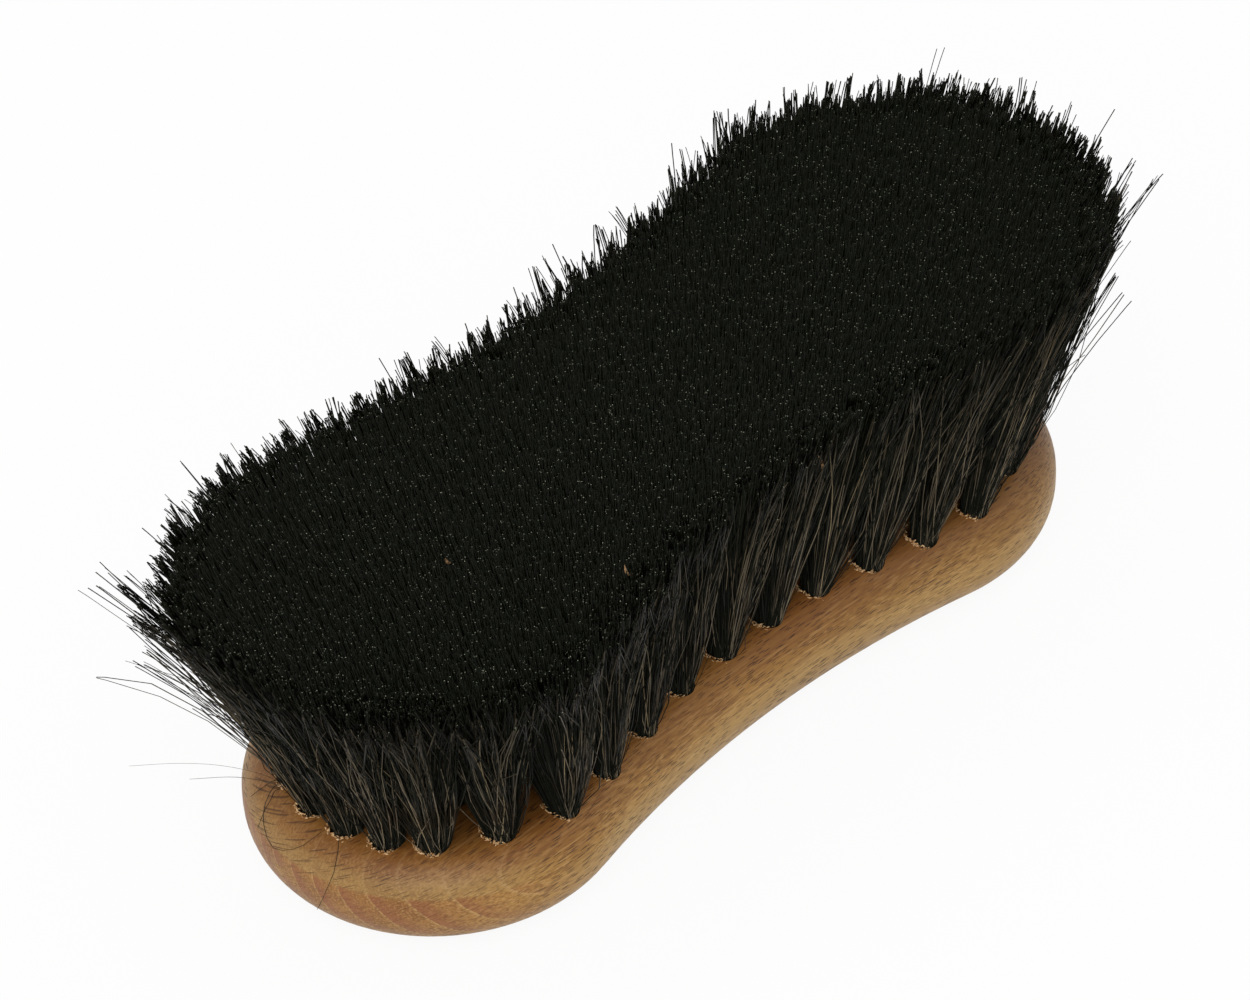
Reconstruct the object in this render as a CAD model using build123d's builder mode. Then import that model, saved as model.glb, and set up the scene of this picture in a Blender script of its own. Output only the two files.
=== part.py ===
"""Shoe shine brush, lying on its flat back with the hair up.

A waisted beech block has blind holes in its face. Each hole holds one tuft of hair, folded in half
round a flat wire anchor that is driven across the hole near its bottom and bites into the wood at
both ends. X runs along the brush, Y across it, and the origin is on the back, below the middle.
All sizes are in millimetres.
"""

import os
from math import atan2, cos, degrees, hypot, radians, sin, sqrt

from build123d import *

# Wooden block, with round ends and a drawn-in waist
block_length = 170.0
block_width = 65.0
waist_width = 53.0
block_thickness = 18.5
face_edge_radius = 7.5
back_edge_radius = 9.5

# Holes for the tufts
hole_diameter = 5.8
hole_depth = 11.0

# Straight rows across the block, from one round end to the other
rows_per_half = 6
last_row_share = 0.263  # of the end radius, from the centre of the round end out to the outermost row
edge_margin = 7.4  # from a row's outer hole to the outline, at the waist
edge_margin_shares = (1.0, 0.99, 0.87, 0.81, 0.87, 1.15)
across_row_shares = (-1.0, -0.5, 0.0, 0.5, 1.0)

# Two arcs of holes round each end, by their shares of the end radius
outer_arc_share = 0.748
outer_arc_count = 6
outer_arc_step = 17.5  # degrees
inner_arc_share = 0.508
inner_arc_count = 3
inner_arc_step = 28.0  # degrees

# Flat wire anchors
anchor_wire_width = 2.2
anchor_wire_thickness = 0.4
anchor_bite = 0.3  # into the wood at each end
fold_thickness = 1.8  # of hair between the anchor and the bottom of the hole

# Hair tufts
hair_height = 41.8  # above the face of the block
tuft_clearance = 0.25  # from the tuft to the wall of its hole
neck_height = 1.0  # of bound hair above the face
root_overlap = 0.5  # of each strand into the neck
strand_root_width = 1.0
strand_tip_width = 1.6
strand_gap = 0.2  # least gap between strands of two tufts, at their tips
strands_round_centre = 5
root_ring_share = 0.6  # of the tuft's radius
spread_along_share = 1.23  # how far along the tips are, over how far along the roots are
side_lean = 6.0  # outwards across the brush, of the outer tufts

end_radius = block_width / 2
end_centre_x = block_length / 2 - end_radius
waist_half_width = waist_width / 2
waist_draw_in = end_radius - waist_half_width
waist_radius = (end_centre_x**2 + waist_half_width**2 - end_radius**2) / (2 * waist_draw_in)
waist_centre_y = waist_half_width + waist_radius
tangent_angle = degrees(atan2(waist_centre_y, end_centre_x))
tangent_x = end_centre_x * waist_radius / (waist_radius + end_radius)

row_pitch = (end_centre_x + last_row_share * end_radius) / (rows_per_half - 0.5)
tuft_radius = hole_diameter / 2 - tuft_clearance
hole_bottom_z = block_thickness - hole_depth
anchor_z = hole_bottom_z + fold_thickness + anchor_wire_width / 2
anchor_length = hole_diameter + 2 * anchor_bite
neck_z = block_thickness + neck_height
tip_z = block_thickness + hair_height


def half_width(x):
    """Half of the block's width at a distance along it."""
    if abs(x) < tangent_x:
        return waist_centre_y - sqrt(waist_radius**2 - x**2)
    return sqrt(end_radius**2 - (abs(x) - end_centre_x) ** 2)


def row_places(number):
    """Hole centres of one straight row, each with the share of the side lean that its tuft takes.

    Rows are counted outwards from the waist, and negative to the left.
    """
    step = abs(number) - 1
    x = (step + 0.5) * row_pitch * (1 if number > 0 else -1)
    outer_y = half_width(x) - edge_margin * edge_margin_shares[step]
    return [(x, share * outer_y, share) for share in across_row_shares]


def arc_places(radius, count, step, side):
    """The same on an arc round the centre of the right end (side 1) or the left end (side -1)."""
    angles = [radians((i - (count - 1) / 2) * step) for i in range(count)]
    return [(side * (end_centre_x + radius * cos(a)), radius * sin(a), sin(a)) for a in angles]


outer_arc_radius = end_radius * outer_arc_share
inner_arc_radius = end_radius * inner_arc_share

places = {}
places["left_end_outer"] = arc_places(outer_arc_radius, outer_arc_count, outer_arc_step, -1)
places["left_end_inner"] = arc_places(inner_arc_radius, inner_arc_count, inner_arc_step, -1)
for index in range(rows_per_half):
    places[f"row_{index + 1:02d}"] = row_places(index - rows_per_half)
for index in range(rows_per_half):
    places[f"row_{index + 1 + rows_per_half:02d}"] = row_places(index + 1)
places["right_end_inner"] = arc_places(inner_arc_radius, inner_arc_count, inner_arc_step, 1)
places["right_end_outer"] = arc_places(outer_arc_radius, outer_arc_count, outer_arc_step, 1)
all_places = [place for group in places.values() for place in group]


def tip_centre(place):
    """Middle of a tuft's tips, leaning outwards along and across the brush."""
    x, y, lean_share = place
    return x * spread_along_share, y + side_lean * lean_share


def tip_ring_radius(place):
    """Radius of the ring of tips, as wide as the nearest tuft leaves room for."""
    x, y = tip_centre(place)
    others = [tip_centre(other) for other in all_places if other != place]
    nearest = min(hypot(x - other_x, y - other_y) for other_x, other_y in others)
    return (nearest - strand_gap - sqrt(2) * strand_tip_width) / 2


def strand(root, tip):
    """One four-sided strand, a leaning wedge from the neck of its tuft to the trimmed face of the hair.

    The wedge is drawn lying along Y and stood up, so that its own X and Z become X and -Y here.
    """
    lean_x = tip[0] - root[0]
    lean_y = tip[1] - root[1]
    side = (strand_root_width - strand_tip_width) / 2
    tip_left = side + lean_x
    tip_front = side - lean_y
    corner = (root[0] - strand_root_width / 2, root[1] + strand_root_width / 2, neck_z - root_overlap)
    with BuildPart() as lock:
        with Locations(Location(corner, (90, 0, 0))):
            Wedge(
                strand_root_width,
                tip_z - neck_z + root_overlap,
                strand_root_width,
                tip_left,
                tip_front,
                tip_left + strand_tip_width,
                tip_front + strand_tip_width,
                align=None,
            )
    return lock.part


def tuft(place):
    """One tuft: its bound root in the hole, slotted for the anchor, and the strands that fan out of it."""
    x, y, _ = place
    tip_x, tip_y = tip_centre(place)
    root_ring = tuft_radius * root_ring_share
    tip_ring = tip_ring_radius(place)
    strands = [strand((x, y), (tip_x, tip_y))]
    outwards = atan2(y, x)
    for turn in range(strands_round_centre):
        angle = outwards + radians(turn * 360 / strands_round_centre)
        root = (x + root_ring * cos(angle), y + root_ring * sin(angle))
        tip = (tip_x + tip_ring * cos(angle), tip_y + tip_ring * sin(angle))
        strands.append(strand(root, tip))
    with BuildPart() as bundle:
        with BuildSketch(Plane.XY.offset(hole_bottom_z)):
            with Locations((x, y)):
                Circle(tuft_radius)
        extrude(amount=neck_z - hole_bottom_z)
        add(strands)
        with Locations((x, y, anchor_z)):
            Box(anchor_length, anchor_wire_thickness, anchor_wire_width, mode=Mode.SUBTRACT)
    return bundle.part


os.makedirs("parts", exist_ok=True)

# Block: the waisted outline, rolled over at the face and at the back, with a hole and an anchor slit a tuft
with BuildPart() as wooden_block:
    with BuildSketch():
        with BuildLine():
            CenterArc((end_centre_x, 0), end_radius, tangent_angle - 180, 360 - 2 * tangent_angle)
            CenterArc((0, waist_centre_y), waist_radius, -tangent_angle, 2 * tangent_angle - 180)
            CenterArc((-end_centre_x, 0), end_radius, tangent_angle, 360 - 2 * tangent_angle)
            CenterArc((0, -waist_centre_y), waist_radius, 180 - tangent_angle, 2 * tangent_angle - 180)
        make_face()
    extrude(amount=block_thickness)
    fillet(wooden_block.faces().sort_by(Axis.Z)[-1].edges(), face_edge_radius)
    fillet(wooden_block.faces().sort_by(Axis.Z)[0].edges(), back_edge_radius)
    with Locations([(x, y, block_thickness) for x, y, _ in all_places]):
        Hole(hole_diameter / 2, hole_depth)
    with Locations([(x, y, anchor_z) for x, y, _ in all_places]):
        Box(anchor_length, anchor_wire_thickness, anchor_wire_width, mode=Mode.SUBTRACT)
wooden_block.part.label = "wooden_block"
export_step(wooden_block.part, "parts/wooden_block.step")

# Anchors and tufts, one node of each for every row and arc of holes
for name, group in places.items():
    with BuildPart() as anchors:
        with Locations([(x, y, anchor_z) for x, y, _ in group]):
            Box(anchor_length, anchor_wire_thickness, anchor_wire_width)
    anchors.part.label = f"anchors_{name}"
    export_step(anchors.part, f"parts/anchors_{name}.step")

    with BuildPart() as hair:
        add([tuft(place) for place in group])
    hair.part.label = f"hair_{name}"
    export_step(hair.part, f"parts/hair_{name}.step")

print("tufts:", len(all_places), "strands:", len(all_places) * (strands_round_centre + 1))
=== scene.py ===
import math

import bmesh
import bpy
import numpy as np
from mathutils import Euler, Matrix, Vector


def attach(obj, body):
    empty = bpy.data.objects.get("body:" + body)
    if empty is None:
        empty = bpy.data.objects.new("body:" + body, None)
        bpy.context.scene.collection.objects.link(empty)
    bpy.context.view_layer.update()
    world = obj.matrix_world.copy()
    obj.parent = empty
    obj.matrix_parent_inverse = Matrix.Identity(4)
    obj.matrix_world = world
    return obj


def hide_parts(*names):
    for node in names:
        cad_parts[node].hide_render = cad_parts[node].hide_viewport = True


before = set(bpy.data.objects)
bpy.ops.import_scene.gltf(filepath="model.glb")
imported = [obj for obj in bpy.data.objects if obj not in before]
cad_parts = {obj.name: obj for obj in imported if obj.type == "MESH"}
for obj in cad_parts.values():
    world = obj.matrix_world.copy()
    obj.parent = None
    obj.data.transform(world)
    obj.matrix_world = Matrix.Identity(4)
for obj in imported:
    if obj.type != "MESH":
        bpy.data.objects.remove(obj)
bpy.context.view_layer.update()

# Wooden block: one piece of steamed beech, sawn to a waisted oval, rolled over at the face and at
# the back, and bored for the tufts. Its solid is right as it is, so here it only gets its wood:
# growth rings round a heart beside the block, pores, beech's short dark rays, and a little oil,
# with painted shade on the face among the tufts and on the top of the right end, and painted
# light low on the flanks of the block.
mm = 0.001
block_length = 170 * mm
block_width = 65 * mm
waist_width = 53 * mm
block_thickness = 18.5 * mm
face_edge_radius = 7.5 * mm

ring_heart_y = -72 * mm
ring_heart_z = 45 * mm
ring_pitch = 4.2 * mm
ring_drift = 0.035  # of ring distance gained along the block, as the log was not quite straight
ring_wander = 8 * mm
ring_lines_from = 46 * mm  # from the waist, where the pale lines between rings begin to show
ring_lines_full = 64 * mm
heart_distance = 65 * mm  # at which angles round the heart are counted as lengths
ray_cell = (3.2 * mm, 0.28 * mm, 11 * mm)  # along the grain, round the rings, out from the heart
pore_cell = (2.2 * mm, 0.27 * mm, 5 * mm)
wander_size = (160 * mm, 34 * mm, 34 * mm)
cloud_size = (45 * mm, 9 * mm, 9 * mm)
fibre_size = (16 * mm, 0.34 * mm, 0.34 * mm)
streak_size = (42 * mm, 0.8 * mm, 0.8 * mm)
blush_size = (26 * mm, 11 * mm, 6 * mm)
crowd_size = (24 * mm, 7 * mm, 7 * mm)

face_shade_heights = (13 * mm, 18.2 * mm)  # painted shade: the face darkens here, where the hair shades it among the tufts
roll_heights = (12.7 * mm, 13.5 * mm)  # the upright side turns into the rolled edge
crown_heights = (15 * mm, 16.8 * mm)  # and the rolled edge into the face
painted_light_heights = (10 * mm, 14 * mm)
right_shade_heights = (9 * mm, 15 * mm)
red_heights = (4 * mm, 7 * mm)
nose_reach = (-78 * mm, -56 * mm)  # the near end, along the block
end_reach = (-70 * mm, -52 * mm)
rings_reach = (0 * mm, 40 * mm)
face_shade_reach = (-50 * mm, 30 * mm)
painted_light_reach = (-66 * mm, -40 * mm)
right_shade_reach = (0 * mm, 60 * mm)
ray_edge = (0.21, 0.26)  # of a cell, from where a ray is darkest to where it ends
ray_crowding = 0.07  # added to both where rays crowd together
pore_edge = (0.18, 0.32)
nose_ray_loss = 0.6
end_ray_loss = 0.3

# Tints of the wood, red, green and blue on a screen, each with the share at which it shows
pale_wood = (160, 119, 58)
dark_wood = (132, 90, 38)
late_wood, late_share = (128, 86, 44), 0.2
line_wood, line_share = (182, 145, 96), 0.4
pale_fibre, pale_share = (184, 144, 90), 0.5
dark_fibre, dark_share = (110, 70, 33), 0.58
streak_wood, streak_share = (108, 68, 33), 0.5
# Painted shade on the face among the tufts, deeper towards the right end
face_shade_wood, face_shade_share, face_shade_gain = (114, 64, 22), 0.55, 0.12
# Painted light: the lower part of the block's flanks paled, against a face that lies in the hair's
# shade
painted_light_wood, painted_light_share = (184, 152, 90), 0.42
# Painted shade: the top of the right end darkened, where it faces away from the lamp
shaded_right_wood, brown_share = (100, 72, 34), 0.35
grey_wood, grey_share = (154, 124, 76), 0.4
red_wood, red_share = (136, 82, 50), 0.75
pore_wood, pore_share = (92, 55, 27), 0.38
ray_wood, ray_share, ray_share_gain = (50, 26, 10), 0.7, 0.2


def paint(red, green, blue):
    """A colour given as on a screen, 0 to 255, in the linear values that a shader takes."""
    linear = [
        c / 12.92 if c <= 0.04045 else ((c + 0.055) / 1.055) ** 2.4
        for c in (red / 255, green / 255, blue / 255)
    ]
    return (*linear, 1.0)


class Wire:
    """A socket in a finish. Sums on wires add the nodes that work them out."""

    def __init__(self, tree, socket=None):
        self.tree = tree
        self.socket = socket

    def node(self, kind, settings, sockets, output=0):
        made = self.tree.nodes.new("ShaderNode" + kind)
        for name, value in settings.items():
            setattr(made, name, value)
        for name, value in sockets.items():
            if isinstance(value, Wire):
                self.tree.links.new(value.socket, made.inputs[name])
            else:
                made.inputs[name].default_value = value
        return Wire(self.tree, made.outputs[output])

    def maths(self, operation, *values):
        return self.node("Math", {"operation": operation}, dict(enumerate(values)))

    def __add__(self, other):
        return self.maths("ADD", self, other)

    def __radd__(self, other):
        return self.maths("ADD", other, self)

    def __sub__(self, other):
        return self.maths("SUBTRACT", self, other)

    def __rsub__(self, other):
        return self.maths("SUBTRACT", other, self)

    def __mul__(self, other):
        return self.maths("MULTIPLY", self, other)

    def __truediv__(self, other):
        return self.maths("DIVIDE", self, other)

    def __pow__(self, other):
        return self.maths("POWER", self, other)

    def rise(self, low, high):
        """0 below low, 1 above high, and a smooth rise between them."""
        steps = {"interpolation_type": "SMOOTHSTEP"}
        return self.node("MapRange", steps, {"Value": self, "From Min": low, "From Max": high})

    def fall(self, low, high):
        return 1.0 - self.rise(low, high)

    def between(self, without, with_it):
        """The first colour where this is 0, and the second where it is 1."""
        factor, first, second, result = 0, 6, 7, 2
        sockets = {factor: self, first: without, second: with_it}
        return self.node("Mix", {"data_type": "RGBA"}, sockets, result)

    def over(self, colour, tint):
        """A colour with a tint laid over it, from not at all at 0 to fully at 1."""
        return self.between(colour, paint(*tint))

    def stretched(self, sizes):
        """These coordinates in units of a size along X, one along Y and one along Z."""
        return self.node("Mapping", {}, {"Vector": self, "Scale": tuple(1 / s for s in sizes)})

    def noise(self, sizes, detail=2.0, roughness=0.5):
        """Cloudy values about 0.5, with blots of these sizes along X, Y and Z."""
        sockets = {"Vector": self.stretched(sizes), "Scale": 1.0}
        return self.node("TexNoise", {}, sockets | {"Detail": detail, "Roughness": roughness})

    def grains(self, sizes):
        """Distance to the nearest of many scattered points, in cells of these sizes."""
        sockets = {"Vector": self.stretched(sizes), "Scale": 1.0}
        return self.node("TexVoronoi", {}, sockets, "Distance")

    def bump(self, strength, distance):
        return self.node("Bump", {}, {"Strength": strength, "Distance": distance, "Height": self})

    def axes(self):
        return [self.node("SeparateXYZ", {}, {"Vector": self}, axis) for axis in "XYZ"]

    def attribute(self, name):
        return self.node("Attribute", {"attribute_name": name}, {}, "Fac")


def finish_of(name, sockets):
    """A new finish, its shader with these numbers set, and a wire with the object coordinates."""
    finish = bpy.data.materials.new(name)
    finish.use_nodes = True
    shader = finish.node_tree.nodes["Principled BSDF"]
    for socket, value in sockets.items():
        shader.inputs[socket].default_value = value
    place = Wire(finish.node_tree).node("TexCoord", {}, {}, "Object")
    return finish, shader, place


def feed(shader, socket, wire):
    wire.tree.links.new(wire.socket, shader.inputs[socket])


def beech():
    finish, shader, place = finish_of(
        "oiled_beech", {"Specular IOR Level": 0.32, "Coat Weight": 0.05, "Coat Roughness": 0.3}
    )
    x, y, z = place.axes()

    wander = place.noise(wander_size, 1.0)
    away_y = y - ring_heart_y
    away_z = z - ring_heart_z
    ring = (away_y * away_y + away_z * away_z) ** 0.5 + x * ring_drift + wander * ring_wander
    turn = ring.maths("FRACT", ring / ring_pitch)
    lined = (x * x).rise(ring_lines_from**2, ring_lines_full**2) * x.fall(*rings_reach)
    ring_line = turn.fall(0.02, 0.12) * (0.1 + lined)
    late = turn.rise(0.3, 1.0)
    round_heart = away_z.maths("ARCTAN2", away_z, away_y) * heart_distance
    across_rays = place.node("CombineXYZ", {}, {"X": x, "Y": round_heart, "Z": ring})

    clouds = place.noise(cloud_size, 3.0)
    fibres = place.noise(fibre_size)
    streaks = place.noise(streak_size, 2.0, 0.55)
    blush = place.noise(blush_size)

    crowd = place.noise(crowd_size, 1.0).rise(0.3, 0.7)
    ray_edges = [edge + crowd * ray_crowding for edge in ray_edge]
    rays = across_rays.grains(ray_cell).fall(*ray_edges)
    pores = across_rays.grains(pore_cell).fall(*pore_edge)

    # painted shade where the hair shades the face
    face_shade = z.rise(*face_shade_heights)
    end = x.fall(*end_reach)
    nose = x.fall(*nose_reach) * z.fall(*roll_heights)
    face_shade_depth = face_shade_share + x.rise(*face_shade_reach) * face_shade_gain
    # painted light low on the flanks of the block
    painted_light_sides = x.rise(*painted_light_reach) * z.fall(*painted_light_heights)
    # painted shade on the top of the right end, which faces away from the lamp
    right = x.rise(*right_shade_reach) * z.rise(*right_shade_heights)
    greyed = end * z.rise(*roll_heights) * z.fall(*crown_heights)
    reddened = nose * z.rise(*red_heights) * (1.0 - ring_line) * blush.rise(0.3, 0.45)
    ray_fade = (1.0 - nose * nose_ray_loss) * (1.0 - end * end_ray_loss)
    ray_depth = (ray_share + crowd * ray_share_gain) * ray_fade

    colour = clouds.rise(0.35, 0.68).between(paint(*pale_wood), paint(*dark_wood))
    colour = (late * late_share).over(colour, late_wood)
    colour = (ring_line * line_share).over(colour, line_wood)
    colour = (fibres.fall(0.38, 0.46) * pale_share).over(colour, pale_fibre)
    colour = (fibres.rise(0.54, 0.62) * dark_share).over(colour, dark_fibre)
    colour = (streaks.rise(0.54, 0.72) * streak_share).over(colour, streak_wood)
    colour = (face_shade * face_shade_depth).over(colour, face_shade_wood)
    colour = (painted_light_sides * painted_light_share).over(colour, painted_light_wood)
    colour = (right * brown_share).over(colour, shaded_right_wood)
    colour = (greyed * grey_share).over(colour, grey_wood)
    colour = ((0.3 + late * 0.7) * reddened * red_share).over(colour, red_wood)
    colour = (pores * pore_share).over(colour, pore_wood)
    colour = (rays * ray_depth).over(colour, ray_wood)
    feed(shader, "Base Color", colour)
    feed(shader, "Roughness", 0.42 + fibres * 0.14 + rays * 0.12)
    feed(shader, "Normal", (fibres * 0.5 - rays * 0.6 - pores * 0.25).bump(0.22, 0.05 * mm))
    return finish


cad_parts["wooden_block"].data.materials[0] = beech()

# Torn rims: where the drill broke out of the face it left a fringe of pale, crumbly beech fibres
# round each hole. They stay attached to the rim, mostly on the side that the tuft leans away from.
hole_diameter = 5.8 * mm
rows_per_half = 6
last_row_share = 0.263  # of the end radius, from the centre of the round end to the outermost row
edge_margin = 7.4 * mm  # from a row's outer hole to the outline, at the waist
edge_margin_shares = (1.0, 0.99, 0.87, 0.81, 0.87, 1.15)
across_row_shares = (-1.0, -0.5, 0.0, 0.5, 1.0)
outer_arc = (0.748, 6, math.radians(17.5))  # share of the end radius, holes, step
inner_arc = (0.508, 3, math.radians(28))

chips_to_a_hole = 56
chip_length = 1.15 * mm
chip_width = 0.36 * mm
chip_curl = 0.35 * mm
chip_sizes = (0.45, 1.0)
chip_middle_size = 1.1
chip_size_loss = 0.5  # towards both ends of the torn stretch of the rim
chip_uneven = 0.25  # of each point's distance from the middle of its chip
chip_tilt = 0.4
chip_dip = -0.3
chip_twist = 1.4  # from the way that the rim faces
chip_lift = 0.5 * mm
torn_middle = math.radians(162)
torn_reach = math.radians(76)
torn_spread = 1.1  # of the reach, to either side
torn_outside = 0.14 * mm  # of the wall of the hole, on average
torn_scatter = 0.17 * mm
pale_chip = (220, 186, 140)
dark_chip = (158, 112, 66)

end_radius = block_width / 2
end_centre_x = block_length / 2 - end_radius
row_pitch = (end_centre_x + last_row_share * end_radius) / (rows_per_half - 0.5)


class Outline:
    """A waisted oval, two round ends joined by arcs that draw in between them."""

    def __init__(self, length, width, waist):
        self.radius = width / 2
        self.centre_x = length / 2 - self.radius
        self.waist_radius = (self.centre_x**2 + waist**2 / 4 - self.radius**2) / (width - waist)
        self.waist_y = waist / 2 + self.waist_radius
        self.tangent_x = self.centre_x * self.waist_radius / (self.waist_radius + self.radius)

    def depth(self, x, y):
        """How far inside the outline a point is, and less than zero outside it."""
        ends = self.radius - np.hypot(np.abs(x) - self.centre_x, y)
        waist = np.hypot(x, self.waist_y - np.abs(y)) - self.waist_radius
        return np.where(np.abs(x) > self.tangent_x, ends, waist)

    def half_width(self, x):
        x = np.abs(x)
        ends = np.sqrt(np.maximum(self.radius**2 - (x - self.centre_x) ** 2, 0.0))
        waist = self.waist_y - np.sqrt(self.waist_radius**2 - x**2)
        return np.where(x > self.tangent_x, ends, waist)


block_outline = Outline(block_length, block_width, waist_width)


def face_height(x, y):
    """Height of the block's face, lower where it rolls over at its edge."""
    roll = np.clip(face_edge_radius - block_outline.depth(x, y), 0.0, face_edge_radius)
    return block_thickness - face_edge_radius + np.sqrt(face_edge_radius**2 - roll**2)


def row_places(number):
    """Hole centres of a straight row, each with the share of the side lean that its tuft takes.

    Rows are counted out from the waist, and negative to the left.
    """
    step = abs(number) - 1
    x = (step + 0.5) * row_pitch * math.copysign(1, number)
    outer = block_outline.half_width(x) - edge_margin * edge_margin_shares[step]
    return [(x, share * outer, share) for share in across_row_shares]


def arc_places(share, count, step, side):
    """The same on an arc round the centre of one end."""
    angles = [(i - (count - 1) / 2) * step for i in range(count)]
    along = [side * (end_centre_x + share * end_radius * math.cos(a)) for a in angles]
    return [(x, share * end_radius * math.sin(a), math.sin(a)) for x, a in zip(along, angles)]


places = {"left_end_outer": arc_places(*outer_arc, -1)}
places["left_end_inner"] = arc_places(*inner_arc, -1)
for index in range(rows_per_half):
    places[f"row_{index + 1:02d}"] = row_places(index - rows_per_half)
for index in range(rows_per_half):
    places[f"row_{index + 1 + rows_per_half:02d}"] = row_places(index + 1)
places["right_end_inner"] = arc_places(*inner_arc, 1)
places["right_end_outer"] = arc_places(*outer_arc, 1)
holes = [place for group in places.values() for place in group]

chance = np.random.default_rng(1911)


def many(name, shape, count):
    """An object with this many copies of a shape in one mesh, and the shape's own points."""
    mesh = bpy.data.meshes.new(name)
    shape.to_mesh(mesh)
    shape.free()
    piece = bpy.data.objects.new(name, mesh)
    bpy.context.scene.collection.objects.link(piece)
    points = np.zeros(len(mesh.vertices) * 3)
    mesh.vertices.foreach_get("co", points)
    copies = piece.modifiers.new("copies", "ARRAY")
    copies.count = count
    copies.use_relative_offset = False
    copied = piece.evaluated_get(bpy.context.evaluated_depsgraph_get())
    piece.data = bpy.data.meshes.new_from_object(copied)
    piece.modifiers.clear()
    bpy.data.meshes.remove(mesh)
    piece.data.name = name
    return piece, points.reshape(-1, 3)


def move_points(piece, points):
    piece.data.vertices.foreach_set("co", points.ravel())
    piece.data.update()


def pebble(subdivisions):
    """A smooth ball, which is then flattened into a crumb of wood."""
    shape = bmesh.new()
    bmesh.ops.create_icosphere(shape, subdivisions=subdivisions, radius=1.0)
    for face in shape.faces:
        face.smooth = True
    return shape


def crumbs(ball, sizes, uneven, length, curl, tilt, facing):
    """Points of crumbs of these sizes: uneven, curled up along their length, and turned."""
    count = len(sizes)
    points = ball[None] * chance.uniform(1 - uneven, 1 + uneven, (count, len(ball), 1)) * sizes
    points[..., 2] += (points[..., 0] / length) ** 2 * curl
    angles = chance.normal(0, tilt, (count, 3)) + facing
    turns = np.array([Euler(angle).to_matrix() for angle in angles])
    return np.einsum("cij,cpj->cpi", turns, points)


def torn_beech(name, pale, dark):
    finish, shader, place = finish_of(name, {"Specular IOR Level": 0.2})
    clouds = place.noise((0.5 * mm, 0.5 * mm, 0.5 * mm))
    feed(shader, "Base Color", clouds.rise(0.35, 0.65).between(paint(*pale), paint(*dark)))
    feed(shader, "Roughness", 0.75 + clouds * 0.2)
    return finish


count = len(holes) * chips_to_a_hole
rims, ball = many("torn_rims", pebble(1), count)
hole = np.repeat(np.array(holes)[:, :2], chips_to_a_hole, axis=0)
torn = chance.uniform(-torn_spread, torn_spread, count)
around = torn_middle + torn_reach * torn
away = hole_diameter / 2 + chance.normal(torn_outside, torn_scatter, count)
rim_x = hole[:, 0] + away * np.cos(around)
rim_y = hole[:, 1] + away * np.sin(around)
size = chance.uniform(*chip_sizes, count) * (chip_middle_size - chip_size_loss * np.abs(torn))
half = np.array([chip_length, chip_width, chip_width]) / 2
facing = np.column_stack([np.zeros(count), np.full(count, chip_dip), around + chip_twist])
chips = crumbs(
    ball, size[:, None, None] * half, chip_uneven, chip_length, chip_curl, chip_tilt, facing
)
rim_z = face_height(rim_x, rim_y) + chance.uniform(0.0, chip_lift, count)
move_points(rims, chips + np.column_stack([rim_x, rim_y, rim_z])[:, None])
rims.data.materials.append(torn_beech("torn_beech", pale_chip, dark_chip))
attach(rims, "root")

# Anchors: short lengths of flat steel wire, driven across each hole over the fold of its tuft. They
# are sunk in the wood and the hair, so only their own solids are needed, with drawn steel on them.
pale_steel = (176, 174, 170)
dark_steel = (140, 138, 134)


def drawn_steel():
    finish, shader, place = finish_of("drawn_steel", {"Metallic": 1.0})
    lines = place.noise((6 * mm, 0.08 * mm, 0.08 * mm))
    feed(shader, "Base Color", lines.rise(0.3, 0.7).between(paint(*pale_steel), paint(*dark_steel)))
    feed(shader, "Roughness", 0.28 + lines * 0.2)
    return finish


steel = drawn_steel()
for name in places:
    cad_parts[f"anchors_{name}"].data.materials[0] = steel

# Hair tufts: several hundred dark horse hairs in each hole, folded in half round the anchor and
# bound tight by the hole, from where they fan out. They are trimmed flat together, so the middle
# of the face is one even spread of cut ends, and locks of stiff, wavy hair fringe its edge.
hair_thickness = 0.185 * mm
core_thickness = 0.175 * mm
thickness_range = (0.7, 1.3)
thickness_taper = (0.9, 1.1)
hole_depth = 11 * mm
mouth_depth = 1.0 * mm  # below the face, from where the hairs fan out
fold_height = 0.3 * mm  # above the bottom of the hole
wire_thickness = 0.4 * mm
parted_share = 0.7  # of the wire's thickness, to either side of it
hair_height = 41.8 * mm
trim_error = 0.45 * mm
tip_length = 196.4 * mm
tip_width = 75.4 * mm
tip_waist = 62.4 * mm
spread_along_share = 1.23
side_lean = 6.0 * mm
tuft_radius = 2.35 * mm
tuft_shift = (0.32 * mm, -0.24 * mm)  # as the hair crowds one side of its hole
fan_radius = 8.0 * mm

# The even spread in the middle of the face, in small clumps that stand a little higher or lower
core_gap = 0.46 * mm  # between neighbouring hairs
core_scatter = 0.4  # of the gap
core_wander = 2.4 * mm  # as hairs of neighbouring tufts mix where they meet
core_proud = 1.2 * mm  # at most
core_border = (0.1, 0.65)  # of the fringe's depth, from where the even hairs begin
clump_size = 1.7 * mm
clump_scatter = 0.35  # of a clump's size
clump_rise = 0.6 * mm
clump_pull = (0.05, 0.5)
clump_kinds = 199

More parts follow.
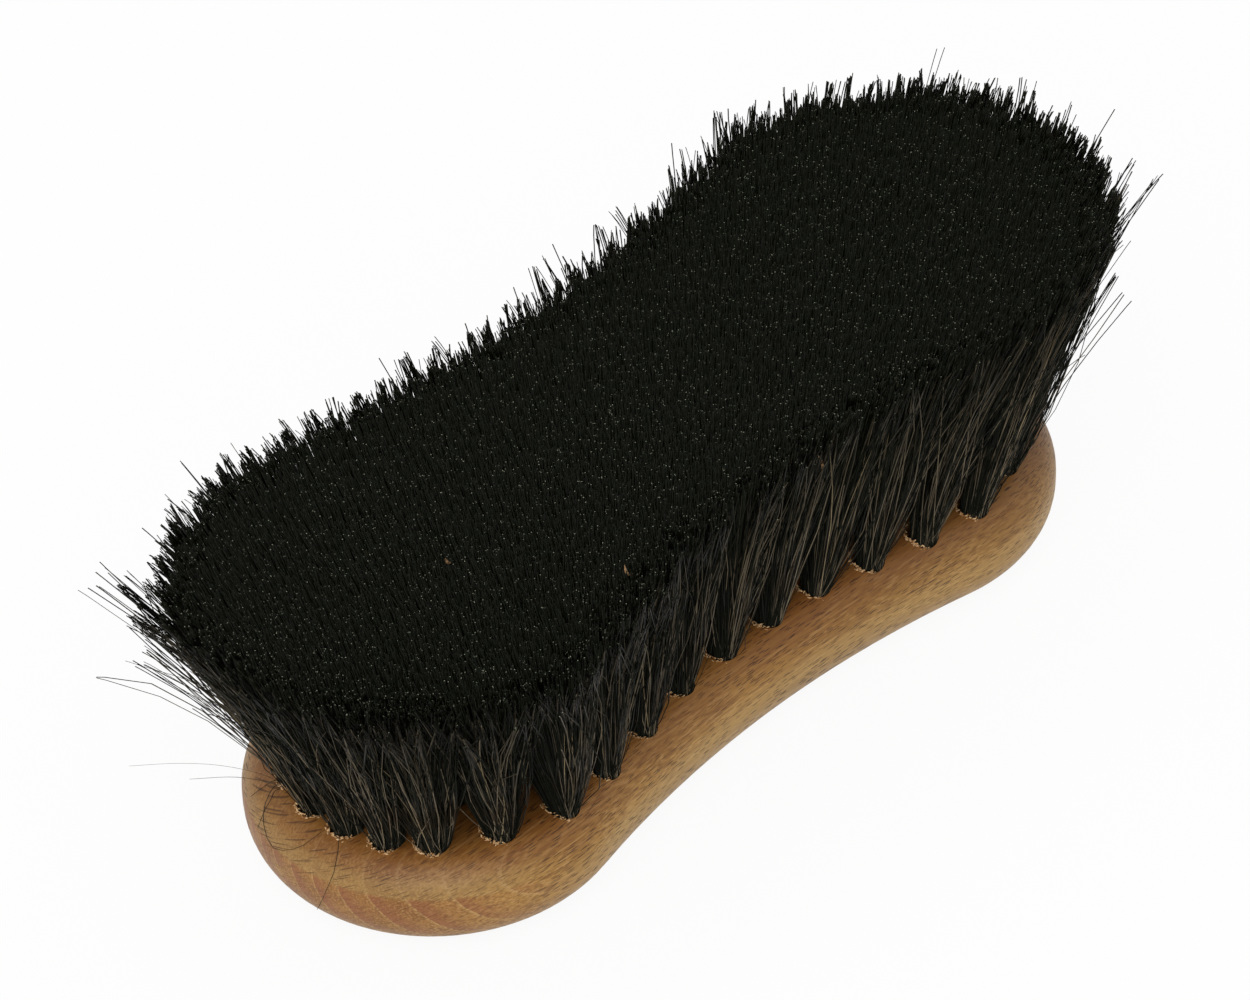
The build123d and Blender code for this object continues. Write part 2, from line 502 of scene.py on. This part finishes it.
# The fringe. The second of two shares is added in full at the outer edge of the brush.
hairs_to_a_tuft = 700
fringe_depth = 6 * mm  # from the outline of the tips to where its hairs end
fringe_tuft_depth = 9 * mm  # a tuft whose middle is deeper inside than this has no fringe
edge_depths = (6 * mm, 18 * mm)  # where a tuft counts as wholly at the edge, and as inside
outer_depths = (0 * mm, 8 * mm)  # the same of a hair
crossing_share = (0.06, 0.36)  # of hairs that lean across their neighbours
crossing_spread = 4.4 * mm
plain_spread = 1.2 * mm
hairs_to_a_lock = 5
lock_pull = 0.5  # of the way to the middle of the lock
lock_pull_more = 0.45
lock_pull_shares = (0.25, 0.75)
lock_scatter = 0.9 * mm
lock_rise = (0.3 * mm, 1.1 * mm)  # up or down, and what is added at the outer edge
lock_top = 2.4 * mm  # at most
loose_share = 0.25
loose_lock = (0.1, 1.0)  # how loose a lock is, and which share of that each of its hairs takes
loose_hair = (0.6, 1.0)
proud_share = 0.06
proud_rise = (0.5 * mm, 2.6 * mm)  # from the least to the most
short_share = (0.04, 0.18)
short_loss = 0.06
short_loss_gain = 2.2
shortest = 0.25  # of the full length
straight_share = 0.68  # of the way out, the rest in a bend that grows towards the tip
sway = 0.6 * mm
sway_gain = 1.5
wave = 0.3 * mm
wave_gain = 1.2
flick = 1.4 * mm  # sideways, of the last part of a lock
level_shares = (0.0, 0.12, 0.3, 0.52, 0.76, 0.965, 1.0)  # of the free length, from the mouth

# Where use has bent the hair, and where the trimmed face is uneven
splayed_place = (-92 * mm, 22 * mm)  # the corner of the left end where the hair is splayed
splayed_reach = 10 * mm
combed_place = (-74 * mm, -12 * mm)  # where the hair of the left end lies over towards the side
combed_reach = 10 * mm
combed_shift = (4.5 * mm, -6.5 * mm)
uneven_places = (  # how much further than the even outline the face reaches there, or less far
    ((-96 * mm, 2 * mm), -4.5 * mm),
    ((-88 * mm, -22 * mm), -2.0 * mm),
    ((-84 * mm, 32 * mm), -2.0 * mm),
    ((-62 * mm, -37 * mm), 3.5 * mm),
    ((-42 * mm, -33 * mm), 2.5 * mm),
    ((74 * mm, -35 * mm), -2.0 * mm),
    ((66 * mm, 36 * mm), 1.5 * mm),
    ((94 * mm, 20 * mm), 2.0 * mm),
)
uneven_reach = 11 * mm
uneven_depth = 24 * mm
held_share = 0.85  # of what passes the outline, drawn back to it
held_share_loose = 0.15
loose_out = 0.6 * mm
loose_out_splayed = 4.5 * mm
loose_out_far_side = 1.7 * mm

black_hair = (20, 23, 15)
brown_hair = (113, 102, 84)
golden_hair = (160, 142, 110)
mottled_hair, mottled_share = (20, 17, 13), 0.35
painted_light_hair, painted_light_hair_share = (27, 31, 18), 0.85  # painted light: hair inside the brush lightened below the tips, where it lies in shade
painted_light_hair_heights = (40 * mm, 56 * mm)
# Painted shade: the top of the brush darkened over the lit flanks of its tips, and the fringe
# towards its tips
painted_shade_hair, tip_shade_share = (15, 18, 9), 0.85
tip_shade_heights = (57.6 * mm, 60 * mm)
shaded_heights, shaded_share = (32 * mm, 58 * mm), 0.62  # of the fringe, towards its tips
# The cut ends: dull, or light grey as a painted highlight where a random share of them catch the
# light
dull_end = (20, 23, 15)
painted_highlight_end = (156, 160, 138)
golden_share = (0.004, 0.02)  # of hairs, and what is added at the outer edge
brown_share = (0.03, 0.36)
golden_tones = (0.75, 1.0)
brown_tones = (0.2, 0.75)
black_tone = 0.1
inside_gain = 1.6

tip_outline = Outline(tip_length, tip_width, tip_waist)
tip_z = block_thickness + hair_height


def hair_shape(levels):
    """A closed three-sided hair, standing up, with a ring of corners at each unit of height."""
    shape = bmesh.new()
    bmesh.ops.create_circle(shape, cap_ends=True, segments=3, radius=1.0)
    end = shape.faces[:]
    for _ in range(levels - 1):
        grown = bmesh.ops.extrude_face_region(shape, geom=end)["geom"]
        corners = [v for v in grown if isinstance(v, bmesh.types.BMVert)]
        bmesh.ops.translate(shape, vec=(0, 0, 1), verts=corners)
        end = [f for f in grown if isinstance(f, bmesh.types.BMFace)]
    for face in shape.faces:
        face.smooth = len(face.verts) == 4
    bmesh.ops.recalc_face_normals(shape, faces=shape.faces[:])
    end[0].material_index = 1
    return shape


def mark(piece, name, values, each):
    """Writes one value for each copy on all of its points."""
    attribute = piece.data.attributes.new(name, "FLOAT", "POINT")
    attribute.data.foreach_set("value", np.repeat(values, each).astype(np.float32))


def grow(name, lines, thickness, tones, finishes, inside):
    """One mesh of hairs, each along its own line of points, thickness wide at each of them."""
    hairs, levels = lines.shape[:2]
    piece, ring = many(name, hair_shape(levels), hairs)
    level = ring[:, 2].round().astype(int)
    turn = chance.uniform(0, 2 * np.pi, hairs)[:, None]
    width = thickness[:, level] / 2
    points = lines[:, level].copy()
    points[..., 0] += width * (ring[:, 0] * np.cos(turn) - ring[:, 1] * np.sin(turn))
    points[..., 1] += width * (ring[:, 0] * np.sin(turn) + ring[:, 1] * np.cos(turn))
    move_points(piece, points)
    # gleam: how far each hair's cut end is painted with a highlight
    gleam = chance.uniform(0, 1, hairs) * thickness[:, 0] / thickness.max()
    for kind, values in (("tone", tones), ("inside", inside), ("gleam", gleam)):
        mark(piece, kind, values, len(ring))
    for finish in finishes:
        piece.data.materials.append(finish)
    return piece


def outwards(x, y):
    """Direction away from the middle line of the brush, at each point."""
    from_x = x - np.clip(x, -tip_outline.centre_x, tip_outline.centre_x)
    length = np.maximum(np.hypot(from_x, y), 1e-6)
    return np.column_stack([from_x, y]) / length[:, None]


def near(x, y, place, reach):
    return np.exp(-((x - place[0]) ** 2 + (y - place[1]) ** 2) / (2 * reach**2))


def edge_share(x, y, full, none):
    """1 up to one depth inside the outline of the tips, 0 from another on, even between them."""
    return np.clip((none - tip_outline.depth(x, y)) / (none - full), 0, 1)


def held_in(tips, loose):
    """Tips drawn back to the trimmed outline if they pass it, but loose locks let stand out."""
    x, y = tips.T
    uneven = sum(near(x, y, place, uneven_reach) * more for place, more in uneven_places)
    tips = tips + outwards(x, y) * (uneven * edge_share(x, y, 0, uneven_depth))[:, None]
    x, y = tips.T
    splayed = near(x, y, splayed_place, splayed_reach)
    over = np.maximum(-uneven - tip_outline.depth(x, y), 0.0)
    out = loose_out + splayed * loose_out_splayed + loose_out_far_side * (y > 0)
    back = np.where(loose > 0, held_share_loose * over - loose * out, held_share * over)
    return tips - outwards(x, y) * back[:, None]


def tip_middle(place):
    """Middle of a tuft's tips, leaning outwards, or over to one side where the hair is combed."""
    x, y, lean_share = place
    combed = near(x, y, combed_place, combed_reach)
    across = y + side_lean * lean_share + combed_shift[1] * combed
    return np.array([x * spread_along_share + combed_shift[0] * combed, across])


def at_edge(place):
    return tip_outline.depth(*tip_middle(place)) < fringe_tuft_depth


def beside_wire(root, place):
    """Roots parted by the wire that they are folded round, and crowding one side of the hole."""
    y = root[:, 1]
    parted = root.copy()
    parted[:, 1] += np.copysign(wire_thickness, y) * parted_share * (1 - np.abs(y) / tuft_radius)
    return parted + (place[0] + tuft_shift[0], place[1] + tuft_shift[1])


def with_feet(root, free):
    """Lines down to the fold of the tuft, near the bottom of its hole."""
    fold_z = block_thickness - hole_depth + fold_height
    feet = np.column_stack([root, np.full(len(root), fold_z)])
    return np.concatenate([feet[:, None], free], axis=1)


def even_tips():
    """Places of the tips in the middle of the face, how proud each is, and the tuft it is of."""
    step = (core_gap * math.sqrt(3) / 2, core_gap)
    half = (tip_width / 2, tip_length / 2)
    y, x = np.mgrid[-half[0] : half[0] : step[0], -half[1] : half[1] : step[1]]
    x = x + (np.arange(len(x)) % 2)[:, None] * core_gap / 2
    spots = np.column_stack([x.ravel(), y.ravel()])
    spots += chance.normal(0, core_scatter * core_gap, spots.shape)
    border = fringe_depth * chance.uniform(*core_border, len(spots))
    spots = spots[tip_outline.depth(*spots.T) > border]

    row = np.floor(spots[:, 1] / clump_size)
    cell = np.column_stack([np.floor(spots[:, 0] / clump_size - row / 2), row]).astype(int)
    shifts = chance.uniform(-clump_scatter, clump_scatter, (clump_kinds, clump_kinds, 3))
    shift = shifts[cell[:, 0] % clump_kinds, cell[:, 1] % clump_kinds]
    clump = (cell + 0.5 + shift[:, :2]) * clump_size
    clump[:, 0] += row / 2 * clump_size
    spots += (clump - spots) * chance.uniform(*clump_pull, (len(spots), 1))

    middles = np.array([tip_middle(place) for place in holes])
    wander = spots + chance.normal(0, core_wander, spots.shape)
    nearest = ((wander[:, None] - middles[None]) ** 2).sum(-1).argmin(1)
    return spots, shift[:, 2] * clump_rise / clump_scatter, nearest


def core_lines(place, tips, rise):
    """Lines of a tuft's hairs that end inside the face, straight from the mouth of its hole."""
    root = (tips - tip_middle(place)) / fan_radius * tuft_radius
    root = beside_wire(root / np.maximum(np.hypot(*root.T) / tuft_radius, 1)[:, None], place)
    tips = held_in(tips, np.zeros(len(tips)))
    top = tip_z + np.minimum(rise + chance.normal(0, trim_error, len(tips)), core_proud)
    mouth = np.full(len(tips), block_thickness - mouth_depth)
    free = np.stack([np.column_stack([root, mouth]), np.column_stack([tips, top])], axis=1)
    return with_feet(root, free)


def tuft_lines(place, hairs):
    """Lines of a tuft's fringe hairs, at the edge of the face, and how far out each of them is."""
    middle = tip_middle(place)
    angle = chance.uniform(0, 2 * np.pi, hairs)
    radius = tuft_radius * np.sqrt(chance.uniform(0, 1, hairs))
    root = np.column_stack([radius * np.cos(angle), radius * np.sin(angle)])
    edge = edge_share(*middle, *edge_depths)
    crosses = chance.uniform(0, 1, hairs) < crossing_share[0] + crossing_share[1] * edge
    spread = np.where(crosses, crossing_spread, plain_spread)[:, None]
    fan = root / tuft_radius * fan_radius + chance.normal(0, 1, (hairs, 2)) * spread
    outer = edge_share(*(fan + middle).T, *outer_depths)

    heads = chance.choice(hairs, hairs // hairs_to_a_lock, replace=False)
    lock = heads[np.argmin(((fan[:, None] - fan[None, heads]) ** 2).sum(-1), axis=1)]
    more = chance.uniform(0, lock_pull_more, hairs)
    pull = lock_pull * outer + more * (lock_pull_shares[0] + lock_pull_shares[1] * outer)
    fan += (fan[lock] - fan) * pull[:, None]
    fan += chance.normal(0, lock_scatter, (hairs, 2))[lock] * outer[:, None]
    is_loose = chance.uniform(0, 1, hairs) < loose_share
    loose = np.where(is_loose, chance.uniform(*loose_lock, hairs), 0)[lock]
    loose = loose * chance.uniform(*loose_hair, hairs)
    in_fringe = tip_outline.depth(*(fan + middle).T) < fringe_depth
    tip = held_in(fan + middle, loose)
    root = beside_wire(root, place)

    risen = chance.normal(0, 1, hairs)[lock] * (lock_rise[0] + lock_rise[1] * outer)
    is_proud = chance.uniform(0, 1, hairs) < proud_share
    proud = np.where(is_proud, chance.uniform(*proud_rise, hairs), 0)[lock] * outer
    top = tip_z + np.minimum(chance.normal(0, trim_error, hairs) + risen, lock_top) + proud
    is_short = chance.uniform(0, 1, hairs) < short_share[0] + short_share[1] * outer
    loss = chance.exponential(short_loss, hairs) * (1 + short_loss_gain * outer)
    kept = np.clip(1 - np.where(is_short, loss, 0.0), shortest, 1)
    top = block_thickness + (top - block_thickness) * kept
    tip = root + (tip - root) * kept[:, None]

    share = np.array(level_shares)[None, :, None]
    run = straight_share * share + (1 - straight_share) * share**2
    across = root[:, None] + (tip - root)[:, None] * run
    bend = chance.uniform(0, 2 * np.pi, hairs)
    side = np.column_stack([np.cos(bend), np.sin(bend)])[:, None]
    swayed = (chance.normal(0, sway, hairs) * (1 + sway_gain * outer))[:, None, None]
    waved = (chance.normal(0, wave, hairs) * (1 + wave_gain * outer))[:, None, None]
    across = across + side * (swayed * np.sin(np.pi * share) + waved * np.sin(2 * np.pi * share))
    flicked = (chance.normal(0, flick, hairs)[lock] * outer)[:, None, None]
    along_edge = outwards(*tip.T) @ ((0, 1), (-1, 0))
    across = across + along_edge[:, None] * flicked * share**4
    mouth = np.full(hairs, block_thickness - mouth_depth)
    rise = mouth[:, None] + (top - mouth)[:, None] * share[..., 0]
    lines = with_feet(root, np.concatenate([across, rise[..., None]], axis=2))
    return lines[in_fringe], outer[in_fringe]


def horse_hair():
    finish, shader, place = finish_of("horse_hair", {"Specular IOR Level": 0.09, "Roughness": 0.42})
    tone = place.attribute("tone")
    inside = place.attribute("inside")
    mottle = place.noise((1.5 * mm, 1.5 * mm, 5 * mm))
    z = place.axes()[2]
    colour = tone.rise(0.2, 0.55).between(paint(*black_hair), paint(*brown_hair))
    colour = tone.rise(0.7, 0.95).over(colour, golden_hair)
    shaded = z.rise(*shaded_heights) * (1.0 - inside)
    colour = (mottle.rise(0.4, 0.7) * mottled_share).over(colour, mottled_hair)
    # painted light inside the brush, against the shade among the hairs
    colour = (z.rise(*painted_light_hair_heights) * inside * painted_light_hair_share).over(colour, painted_light_hair)
    colour = (shaded * shaded_share).over(colour, painted_shade_hair)
    # painted shade over the top of the brush
    colour = (z.rise(*tip_shade_heights) * tip_shade_share).over(colour, painted_shade_hair)
    feed(shader, "Base Color", colour)
    return finish


def cut_ends():
    sockets = {"Specular IOR Level": 0.1, "Roughness": 0.6}
    finish, shader, place = finish_of("cut_hair_ends", sockets)
    # painted highlight on some cut ends, standing in for glints of the lamp
    gleam = place.attribute("gleam").rise(0.48, 0.8)
    feed(shader, "Base Color", gleam.between(paint(*dull_end), paint(*painted_highlight_end)))
    return finish


hair_finishes = [horse_hair(), cut_ends()]
spots, rises, nearest = even_tips()
for name, group in places.items():
    cores = []
    for number, place in enumerate(holes):
        if place in group:
            of_tuft = nearest == number
            cores.append(core_lines(place, spots[of_tuft], rises[of_tuft]))
    cores = np.concatenate(cores)
    made = [("tuft_cores", core_thickness, cores, np.zeros(len(cores)))]
    fringes = [tuft_lines(place, hairs_to_a_tuft) for place in group if at_edge(place)]
    if fringes:
        lines, outer = map(np.concatenate, zip(*fringes))
        made.append(("tufts", hair_thickness, lines, outer))
    for part, thickness, lines, outer in made:
        hairs, levels = lines.shape[:2]
        thickness = thickness * chance.uniform(*thickness_range, hairs)[:, None]
        thickness = thickness * np.linspace(*thickness_taper, levels)
        kind = chance.uniform(0, 1, hairs)
        golden = kind < golden_share[0] + golden_share[1] * outer
        brown = kind > 1 - brown_share[0] - brown_share[1] * outer
        golden_tone = chance.uniform(*golden_tones, hairs)
        brown_tone = chance.uniform(*brown_tones, hairs)
        tones = np.where(golden, golden_tone, np.where(brown, brown_tone, black_tone))
        inside = np.clip(inside_gain - inside_gain * outer, 0, 1)
        tuft_piece = grow(f"{part}_{name}", lines, thickness, tones, hair_finishes, inside)
        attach(tuft_piece, "root")
        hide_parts(f"hair_{name}")

# Stray hairs: a few hairs of the outer tufts were bent or missed by the trimming. They arch over
# their neighbours or stand away from the brush, and at the left end some hang over the wood.
strays_to_a_tuft = 6
stray_levels = 15
stray_thickness = 0.17 * mm
stray_thickness_range = (0.7, 1.2)
stray_thickness_taper = (1.0, 0.6)
stray_reach = 7 * mm
stray_depth = 1.5 * mm  # of its root in the hole
stray_root_scatter = 0.35  # of the tuft's radius
stray_out_share = 0.35  # of the reach
stray_heights = (0.6, 1.02)  # of the height of the tuft
stray_leans = ((0, 0), (0.35, 0.1), (0.7, 0.45))  # share of the length, and of the lean there
stray_end_side = (0.7, 1.3)
stray_end_out = (0.6, 1.6)
stray_golden_share = 0.2
stray_brown_share = 0.45
stray_golden_tone = 0.9
stray_brown_tones = (0.3, 0.7)
hanging_hairs = (  # in millimetres, from inside a tuft, over the face and down the edge
    ((-75.4, 10.6, 17.0), (-77.4, 11.6, 19.6), (-78.9, 14.1, 17.1), (-79.9, 15.6, 15.2)),
    (
        (-75.6, 10.6, 17.0), (-78.3, 10.9, 18.4), (-79.7, 10.7, 17.6), (-81.5, 10.5, 16.3),
        (-83.2, 10.6, 13.7),
    ),
    (
        (-75.4, 10.9, 17.0), (-77.6, 11.4, 18.9), (-79.5, 11.5, 17.7), (-81.6, 10.6, 16.3),
        (-83.3, 8.8, 14.9), (-84.6, 5.9, 13.5), (-84.5, 2.5, 14.7), (-83.2, -0.2, 16.5),
        (-81.4, -1.4, 18.0), (-78.5, -2.0, 18.7),
    ),
    (
        (-77.2, -4.0, 17.0), (-79.0, -4.8, 19.0), (-81.1, -6.4, 17.8), (-83.2, -7.4, 15.3),
        (-84.5, -7.1, 12.8), (-84.9, -6.3, 10.4), (-84.7, -4.8, 7.4), (-83.9, -3.1, 4.7),
    ),
)
standing_hairs = (
    (
        (-75.5, 10.2, 17.0), (-80.0, 11.6, 22.5), (-86.0, 14.6, 26.8), (-92.0, 18.2, 29.2),
        (-98.2, 22.6, 30.2),
    ),
    ((-75.8, 10.0, 17.0), (-80.0, 10.8, 21.4), (-85.0, 13.0, 24.6), (-91.4, 16.2, 26.6)),
)


def smooth_line(points, levels):
    """This many points along a smooth line through the given ones."""
    points = np.array(points)
    slopes = np.gradient(points, axis=0)
    along = np.linspace(0, len(points) - 1, levels)
    start = np.minimum(along.astype(int), len(points) - 2)
    s = (along - start)[:, None]
    ends = (2 * s**3 - 3 * s**2 + 1) * points[start] + (3 * s**2 - 2 * s**3) * points[start + 1]
    return ends + (s**3 - 2 * s**2 + s) * slopes[start] + (s**3 - s**2) * slopes[start + 1]


def stray_line(place):
    """One hair of a tuft that leaves it part way up and leans over to a side."""
    x, y, _ = place
    beside = np.append(chance.normal(0, stray_root_scatter, 2) * tuft_radius, 0)
    root = np.array([x, y, block_thickness - stray_depth]) + beside
    top = np.append(tip_middle(place), tip_z)
    out = np.append(outwards(top[:1], top[1:2])[0], 0)
    side = np.array([-out[1], out[0], 0.0]) * chance.normal(0, stray_reach)
    out = out * abs(chance.normal(0, stray_reach)) * stray_out_share
    up = (top - root) * chance.uniform(*stray_heights)
    points = [root + up * share + (side + out) * lean for share, lean in stray_leans]
    end_side = side * chance.uniform(*stray_end_side)
    points.append(root + up + end_side + out * chance.uniform(*stray_end_out))
    return smooth_line(points, stray_levels)


lines = [stray_line(place) for place in holes if at_edge(place) for _ in range(strays_to_a_tuft)]
for points in hanging_hairs + standing_hairs:
    lines.append(smooth_line(np.array(points) * mm, stray_levels))
lines = np.array(lines)
count = len(lines)
kind = chance.uniform(0, 1, count)
brown_tone = chance.uniform(*stray_brown_tones, count)
brown = kind < stray_golden_share + stray_brown_share
tones = np.where(brown, brown_tone, black_tone)
tones = np.where(kind < stray_golden_share, stray_golden_tone, tones)
thickness = stray_thickness * chance.uniform(*stray_thickness_range, count)[:, None]
thickness = thickness * np.linspace(*stray_thickness_taper, stray_levels)
strays = grow("stray_hairs", lines, thickness, tones, hair_finishes, np.zeros(count))
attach(strays, "root")

# Shavings: three crumbs of beech from the boring that are still caught in the face of the hair,
# each a small curled flake that lies among the tips.
shaving_places = np.array(((-36.2, -29.4, 60.0), (7.9, -30.3, 56.0), (-53.0, -6.5, 60.0))) * mm
shaving_size = np.array((1.1, 0.3, 0.12)) * mm
shaving_uneven = 0.2
shaving_curl = 0.9 * mm
shaving_tilt = 0.6
shaving_facing = (0, 0, 0.9)
pale_shaving = (150, 118, 84)
dark_shaving = (84, 62, 42)

shavings, ball = many("shavings", pebble(2), len(shaving_places))
flakes = crumbs(
    ball,
    np.tile(shaving_size, (len(shaving_places), 1, 1)),
    shaving_uneven,
    shaving_size[0],
    shaving_curl,
    shaving_tilt,
    shaving_facing,
)
move_points(shavings, flakes + shaving_places[:, None])
shavings.data.materials.append(torn_beech("beech_shavings", pale_shaving, dark_shaving))
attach(shavings, "root")

# Studio: a white floor that fades into a white background, a wide soft lamp overhead, and the
# camera that looks down on the brush from beyond its left end.
white = (1.0, 1.0, 1.0, 1.0)
floor_size = 6.0
floor_drop = 0.05 * mm
floor_white = (0.88, 0.88, 0.88, 1.0)
floor_shown = 0.92  # how far the floor hides its own shading from the camera
lamp_size = 1.6
lamp_energy = 17.0
lamp_place = (-1.1, -0.8, 1.3)
sky_strength = 0.76
camera_azimuth = math.radians(-44.354)
camera_elevation = math.radians(39.667)
camera_roll = math.radians(2.727)
camera_distance = 913.14 * mm
camera_aim = Vector((10.37, 18.03, 20.0)) * mm
camera_lens = 154.01
camera_sensor = 36.0
camera_nearest = 0.01
camera_furthest = 20.0


def wire_surface(tree, kind, mix):
    """Feeds a mix of two shaders into the output of an emptied tree."""
    out = tree.nodes.new(kind)
    tree.links.new(mix.socket, out.inputs["Surface"])


shape = bmesh.new()
bmesh.ops.create_grid(shape, x_segments=1, y_segments=1, size=floor_size / 2)
bmesh.ops.translate(shape, vec=(0, 0, -floor_drop), verts=shape.verts[:])
mesh = bpy.data.meshes.new("floor")
shape.to_mesh(mesh)
shape.free()
floor = bpy.data.objects.new("floor", mesh)
bpy.context.scene.collection.objects.link(floor)
paper = bpy.data.materials.new("white_paper")
paper.use_nodes = True
paper.node_tree.nodes.clear()
start = Wire(paper.node_tree)
seen = start.node("LightPath", {}, {}, "Is Camera Ray")
mirrored = start.node("LightPath", {}, {}, "Is Glossy Ray")
through = start.node("LightPath", {}, {}, "Is Transmission Ray")
matt = start.node("BsdfDiffuse", {}, {"Color": floor_white})
bright = start.node("Emission", {}, {"Color": white, "Strength": 1.0})
shown = seen.maths("MAXIMUM", seen, mirrored.maths("MAXIMUM", mirrored, through)) * floor_shown
mixed = start.node("MixShader", {}, {0: shown, 1: matt, 2: bright})
wire_surface(paper.node_tree, "ShaderNodeOutputMaterial", mixed)
floor.data.materials.append(paper)

world = bpy.data.worlds.new("studio")
world.use_nodes = True
bpy.context.scene.world = world
world.node_tree.nodes.clear()
start = Wire(world.node_tree)
seen = start.node("LightPath", {}, {}, "Is Camera Ray")
soft = start.node("Background", {}, {"Color": white, "Strength": sky_strength})
clear = start.node("Background", {}, {"Color": white, "Strength": 1.0})
mixed = start.node("MixShader", {}, {0: seen, 1: soft, 2: clear})
wire_surface(world.node_tree, "ShaderNodeOutputWorld", mixed)

lamp_data = bpy.data.lights.new("softbox", "AREA")
lamp_data.shape = "DISK"
lamp_data.size = lamp_size
lamp_data.energy = lamp_energy
lamp = bpy.data.objects.new("softbox", lamp_data)
lamp.location = lamp_place
lamp.rotation_euler = (-lamp.location).to_track_quat("-Z", "Y").to_euler()
bpy.context.scene.collection.objects.link(lamp)

camera_data = bpy.data.cameras.new("camera")
camera_data.lens = camera_lens
camera_data.sensor_width = camera_sensor
camera_data.sensor_fit = "HORIZONTAL"
camera_data.clip_start = camera_nearest
camera_data.clip_end = camera_furthest
camera = bpy.data.objects.new("camera", camera_data)
camera.matrix_world = (
    Matrix.Translation(camera_aim)
    @ Matrix.Rotation(camera_azimuth, 4, "Z")
    @ Matrix.Rotation(math.pi / 2 - camera_elevation, 4, "X")
    @ Matrix.Translation((0, 0, camera_distance))
    @ Matrix.Rotation(-camera_roll, 4, "Z")
)
bpy.context.scene.collection.objects.link(camera)
bpy.context.scene.camera = camera
bpy.context.scene.view_settings.view_transform = "Standard"
